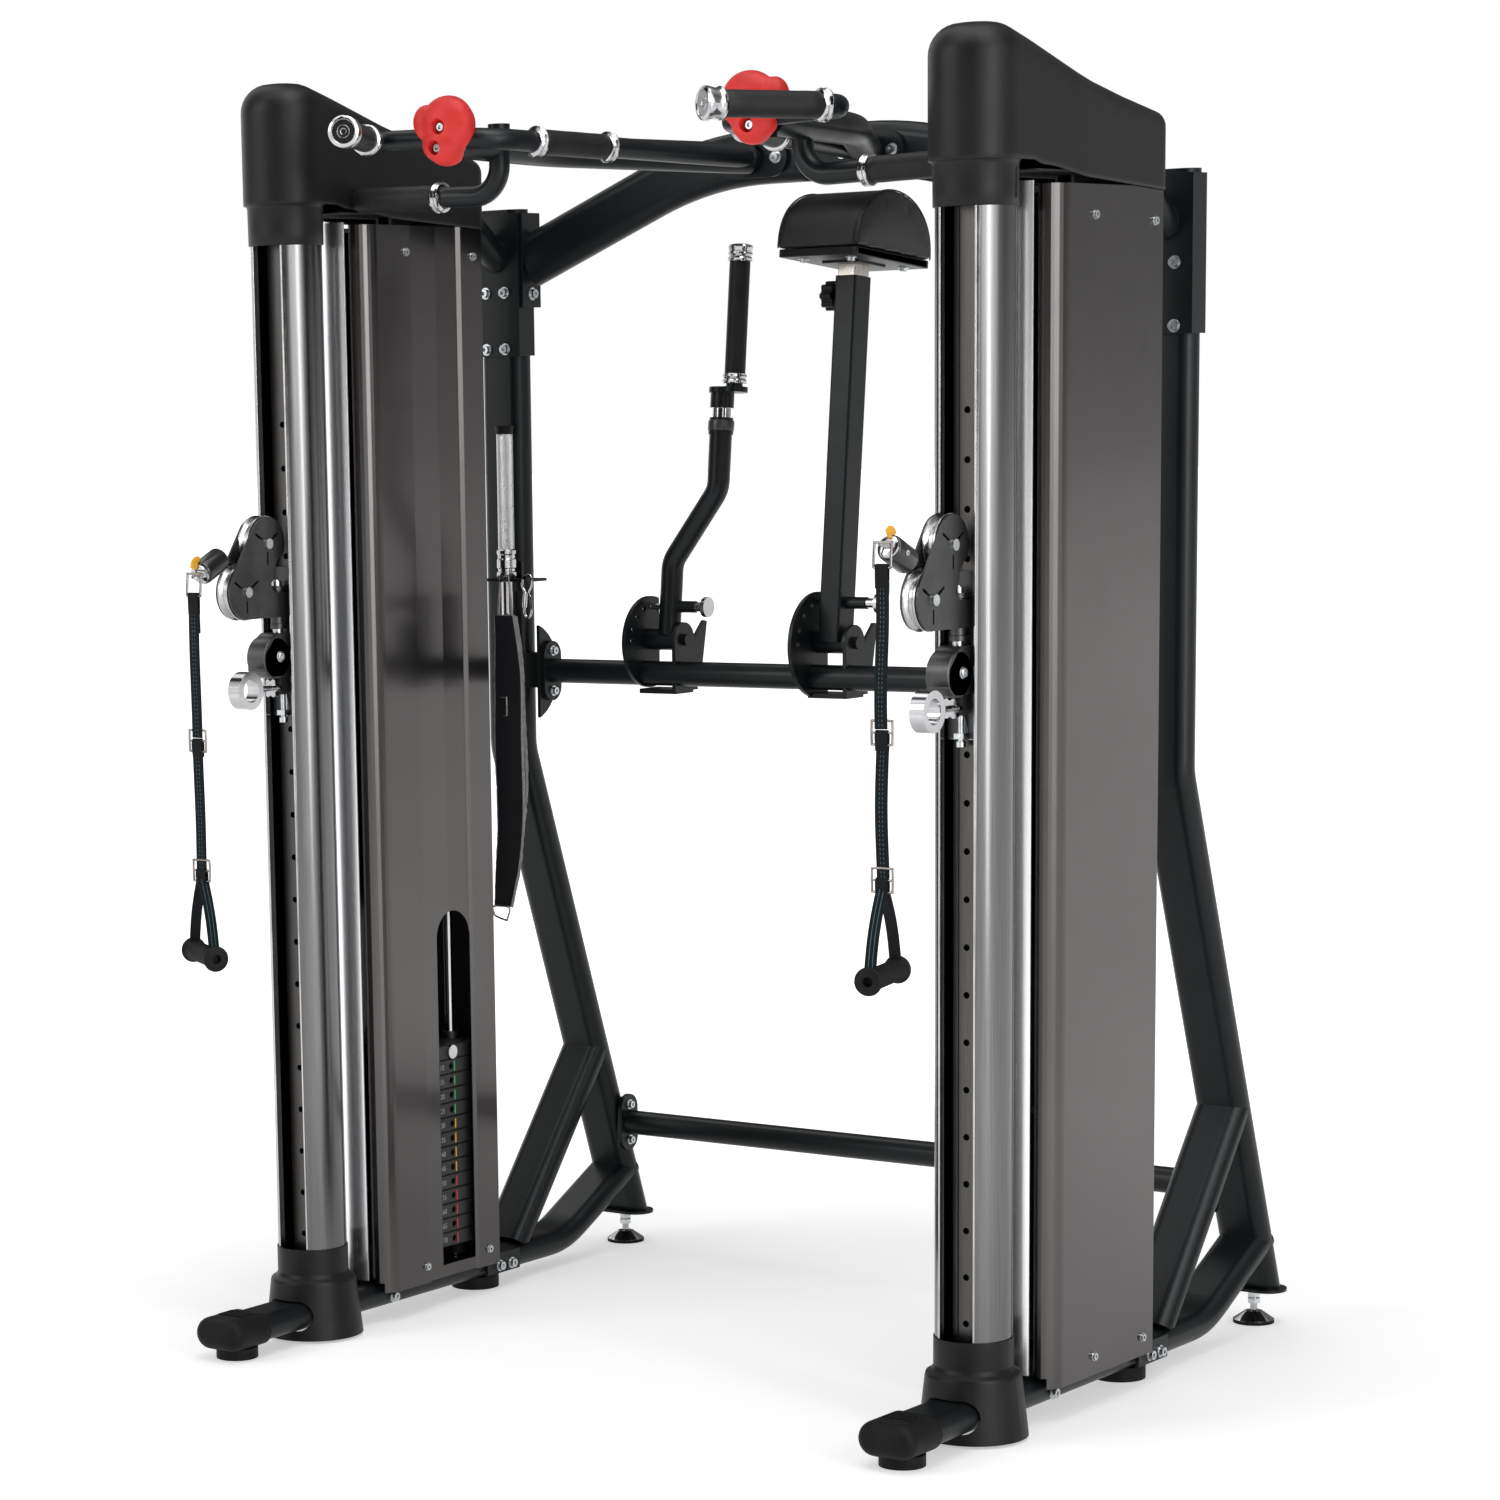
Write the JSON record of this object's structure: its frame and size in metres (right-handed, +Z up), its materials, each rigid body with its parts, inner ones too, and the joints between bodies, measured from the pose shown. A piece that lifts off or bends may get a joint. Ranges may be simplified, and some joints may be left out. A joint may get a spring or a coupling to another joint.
{
  "type": "cable crossover machine",
  "caption": "Free-standing cable crossover trainer: two weight-stack towers with height-adjustable swivelling pulleys, arched pull-up frame, tilting arm pad and a core-training lever.",
  "frame": {"origin": "on the floor, under the middle of the machine (midway between the towers, midway from front to rear); the column axes stand 314 mm in front of it", "axes": "+X to the right-hand tower as the user faces the machine, +Y to the rear, +Z up"},
  "size_m": [1.446, 1.287, 2.068],
  "materials": {
    "frame_paint": "satin",
    "column_anodised": "satin",
    "bar_steel": "brushed",
    "moulded_plastic": "matte",
    "trim_silver": "satin",
    "casing_bronze": "satin",
    "plate_iron": "satin",
    "chrome": "polished",
    "cable_sheath": "gloss",
    "rubber": "matte",
    "hold_resin": "matte",
    "fastener_steel": "polished",
    "carriage_steel": "satin",
    "pulley_alloy": "machined",
    "webbing": "woven",
    "slider_steel": "satin",
    "pad_leather": "satin",
    "knob_plastic": "matte"
  },
  "bodies": {
    "frame": {"base_rails": "frame_paint", "rear_leg_left": "frame_paint", "rear_leg_right": "frame_paint", "columns": "column_anodised", "adjustment_bars": "bar_steel", "base_sleeves": "moulded_plastic", "rail_caps_and_glides": "rubber", "front_trims": "trim_silver", "outer_panels": "casing_bronze", "inner_panels": "casing_bronze", "top_cover_left": "moulded_plastic", "top_cover_right": "moulded_plastic", "weight_plates": "plate_iron", "guide_rods": "chrome", "lift_cables": "cable_sheath", "arch_beam": "frame_paint", "top_links": "frame_paint", "mid_crossbar": "frame_paint", "lower_crossbar": "frame_paint", "pullup_bars": "frame_paint", "pullup_grips": "rubber", "grip_collars": "chrome", "climbing_holds": "hold_resin", "attachment_brackets": "frame_paint", "accessory_bar": "chrome", "frame_bolts": "fastener_steel"},
    "carriage_right": {"carriage_right": "carriage_steel"},
    "pulley_arm_right": {"pulley_arm_right": "carriage_steel", "cable_stop_right": "rubber"},
    "upper_pulley_right": {"upper_pulley_right": "pulley_alloy"},
    "lower_pulley_right": {"lower_pulley_right": "pulley_alloy"},
    "latch_pin_right": {"latch_pin_right": "chrome"},
    "handle_right": {"handle_strap_right": "webbing", "handle_grip_right": "rubber"},
    "stack_head_right": {"stack_head_right": "plate_iron"},
    "selector_pin_right": {"selector_pin_right": "chrome"},
    "stack_pulley_right": {"stack_pulley_right": "pulley_alloy"},
    "levelling_foot_right": {"levelling_foot_right": "chrome"},
    "carriage_left": {"carriage_left": "carriage_steel"},
    "pulley_arm_left": {"pulley_arm_left": "carriage_steel", "cable_stop_left": "rubber"},
    "upper_pulley_left": {"upper_pulley_left": "pulley_alloy"},
    "lower_pulley_left": {"lower_pulley_left": "pulley_alloy"},
    "latch_pin_left": {"latch_pin_left": "chrome"},
    "handle_left": {"handle_strap_left": "webbing", "handle_grip_left": "rubber"},
    "stack_head_left": {"stack_head_left": "plate_iron"},
    "selector_pin_left": {"selector_pin_left": "chrome"},
    "stack_pulley_left": {"stack_pulley_left": "pulley_alloy"},
    "levelling_foot_left": {"levelling_foot_left": "chrome"},
    "trainer_arm": {"trainer_arm": "frame_paint"},
    "trainer_handle": {"trainer_handle": "frame_paint", "trainer_grip": "rubber"},
    "trainer_pin": {"trainer_pin": "chrome"},
    "pad_post": {"pad_post": "frame_paint"},
    "pad_slider": {"pad_slider": "slider_steel", "arm_pad": "pad_leather"},
    "pad_knob": {"pad_knob": "knob_plastic"},
    "pad_pin": {"pad_pin": "chrome"},
    "ankle_strap": {"ankle_strap": "webbing"}
  },
  "joints": [
    {"name": "carriage_slide_right", "type": "slide", "parent": "frame", "child": "carriage_right", "axis": [0, 0, 1], "range_m": [-0.568, 0.426]},
    {"name": "pulley_swivel_right", "type": "hinge", "parent": "carriage_right", "child": "pulley_arm_right", "pos_m": [0.64, -0.36205, 1.23], "axis": [0, 0, 1], "range_deg": [-30, 30]},
    {"name": "upper_pulley_turn_right", "type": "hinge", "parent": "pulley_arm_right", "child": "upper_pulley_right", "pos_m": [0.64, -0.40004, 1.336], "axis": [1, 0, 0], "continuous": true},
    {"name": "lower_pulley_turn_right", "type": "hinge", "parent": "pulley_arm_right", "child": "lower_pulley_right", "pos_m": [0.64, -0.45504, 1.26], "axis": [1, 0, 0], "continuous": true},
    {"name": "stack_pulley_turn_right", "type": "hinge", "parent": "frame", "child": "stack_pulley_right", "pos_m": [0.64, -0.02604, 1.892], "axis": [1, 0, 0], "continuous": true},
    {"name": "latch_pull_right", "type": "slide", "parent": "carriage_right", "child": "latch_pin_right", "axis": [0, -1, 0], "range_m": [0, 0.014]},
    {"name": "handle_swing_right", "type": "hinge", "parent": "pulley_arm_right", "child": "handle_right", "pos_m": [0.64, -0.5596, 1.34262], "axis": [1, 0, 0], "range_deg": [-20, 10]},
    {"name": "stack_lift_right", "type": "slide", "parent": "frame", "child": "stack_head_right", "axis": [0, 0, 1], "range_m": [0, 1.1]},
    {"name": "selector_pin_pull_right", "type": "slide", "parent": "stack_head_right", "child": "selector_pin_right", "axis": [1, 0, 0], "range_m": [-0.05, 0]},
    {"name": "foot_height_right", "type": "slide", "parent": "frame", "child": "levelling_foot_right", "axis": [0, 0, 1], "range_m": [-0.01, 0.01]},
    {"name": "carriage_slide_left", "type": "slide", "parent": "frame", "child": "carriage_left", "axis": [0, 0, 1], "range_m": [-0.568, 0.426]},
    {"name": "pulley_swivel_left", "type": "hinge", "parent": "carriage_left", "child": "pulley_arm_left", "pos_m": [-0.64, -0.36205, 1.23], "axis": [0, 0, 1], "range_deg": [-30, 30]},
    {"name": "upper_pulley_turn_left", "type": "hinge", "parent": "pulley_arm_left", "child": "upper_pulley_left", "pos_m": [-0.64, -0.40004, 1.336], "axis": [1, 0, 0], "continuous": true},
    {"name": "lower_pulley_turn_left", "type": "hinge", "parent": "pulley_arm_left", "child": "lower_pulley_left", "pos_m": [-0.64, -0.45504, 1.26], "axis": [1, 0, 0], "continuous": true},
    {"name": "stack_pulley_turn_left", "type": "hinge", "parent": "frame", "child": "stack_pulley_left", "pos_m": [-0.64, -0.02604, 1.892], "axis": [1, 0, 0], "continuous": true},
    {"name": "latch_pull_left", "type": "slide", "parent": "carriage_left", "child": "latch_pin_left", "axis": [0, -1, 0], "range_m": [0, 0.014]},
    {"name": "handle_swing_left", "type": "hinge", "parent": "pulley_arm_left", "child": "handle_left", "pos_m": [-0.64, -0.5596, 1.29138], "axis": [1, 0, 0], "range_deg": [-20, 10]},
    {"name": "stack_lift_left", "type": "slide", "parent": "frame", "child": "stack_head_left", "axis": [0, 0, 1], "range_m": [0, 1.1]},
    {"name": "selector_pin_pull_left", "type": "slide", "parent": "stack_head_left", "child": "selector_pin_left", "axis": [-1, 0, 0], "range_m": [-0.05, 0]},
    {"name": "foot_height_left", "type": "slide", "parent": "frame", "child": "levelling_foot_left", "axis": [0, 0, 1], "range_m": [-0.01, 0.01]},
    {"name": "trainer_tilt", "type": "hinge", "parent": "frame", "child": "trainer_arm", "pos_m": [-0.312, 0.28396, 1.144], "axis": [1, 0, 0], "range_deg": [-45, 15]},
    {"name": "trainer_handle_turn", "type": "hinge", "parent": "trainer_arm", "child": "trainer_handle", "pos_m": [-0.219, 0.32368, 1.54202], "axis": [0, 0.0993, 0.9951], "continuous": true},
    {"name": "trainer_pin_pull", "type": "slide", "parent": "trainer_arm", "child": "trainer_pin", "axis": [1, 0, 0], "range_m": [0, 0.012]},
    {"name": "pad_tilt", "type": "hinge", "parent": "frame", "child": "pad_post", "pos_m": [0.028, 0.28396, 1.144], "axis": [1, 0, 0], "range_deg": [-45, 15]},
    {"name": "pad_height", "type": "slide", "parent": "pad_post", "child": "pad_slider", "axis": [0, 0.0993, 0.9951], "range_m": [-0.015, 0.01]},
    {"name": "pad_knob_turn", "type": "hinge", "parent": "pad_post", "child": "pad_knob", "pos_m": [0.028, 0.34057, 1.71118], "axis": [1, 0, 0], "continuous": true},
    {"name": "pad_pin_pull", "type": "slide", "parent": "pad_post", "child": "pad_pin", "axis": [1, 0, 0], "range_m": [0, 0.012]},
    {"name": "ankle_strap_swing", "type": "hinge", "parent": "frame", "child": "ankle_strap", "pos_m": [-0.592, 0.20095, 1.2465], "axis": [0, 1, 0], "range_deg": [-8, 8]}
  ],
  "couplings": [
    {"joint": "lower_pulley_turn_right", "follows": "upper_pulley_turn_right", "ratio": -1},
    {"joint": "stack_pulley_turn_right", "follows": "upper_pulley_turn_right", "ratio": 1},
    {"joint": "lower_pulley_turn_left", "follows": "upper_pulley_turn_left", "ratio": -1},
    {"joint": "stack_pulley_turn_left", "follows": "upper_pulley_turn_left", "ratio": 1}
  ]
}
